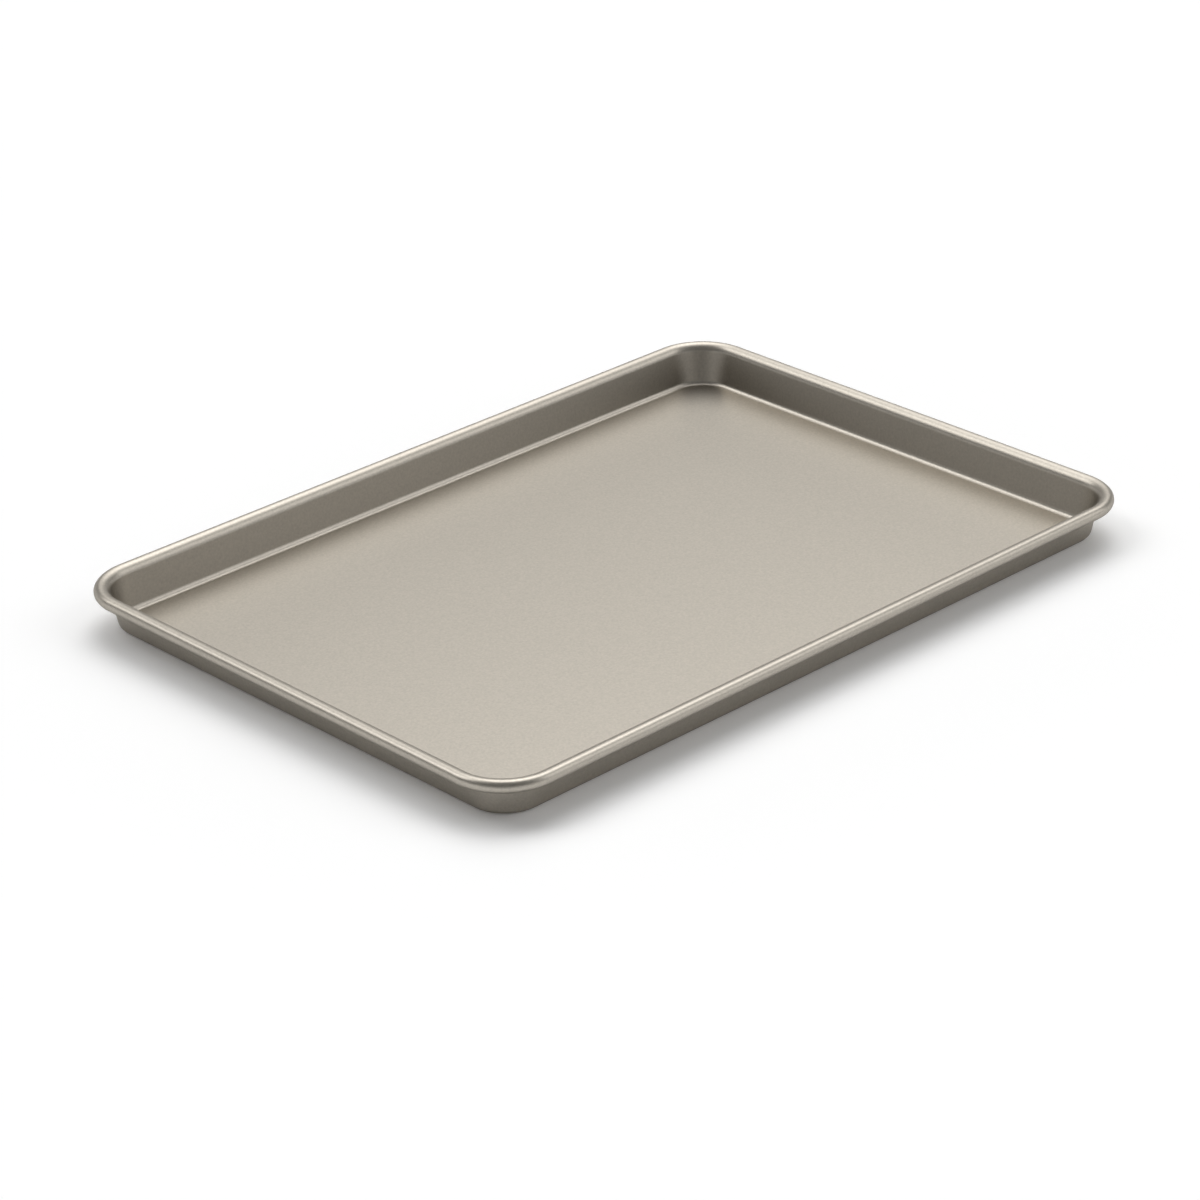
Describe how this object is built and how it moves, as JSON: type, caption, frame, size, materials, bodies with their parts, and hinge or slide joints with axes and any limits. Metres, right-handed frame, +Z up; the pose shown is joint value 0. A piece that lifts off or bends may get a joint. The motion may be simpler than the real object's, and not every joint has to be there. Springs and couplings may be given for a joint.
{
  "type": "jelly roll pan",
  "caption": "Shallow rectangular baking pan in coated steel, with flared walls, rounded corners and a rim rolled over a hidden wire.",
  "frame": {"origin": "centre of the flat underside, on the surface that the pan stands on", "axes": "+X along the long side, +Y along the short side, +Z up out of the pan's mouth"},
  "size_m": [0.432, 0.305, 0.0222],
  "materials": {
    "coated_steel": "champagne-pewter metallic nonstick coating, satin",
    "bare_wire": "drawn and galvanised, dull"
  },
  "bodies": {
    "root": {"pan_shell": "coated_steel", "rim_wire": "bare_wire"}
  },
  "joints": []
}
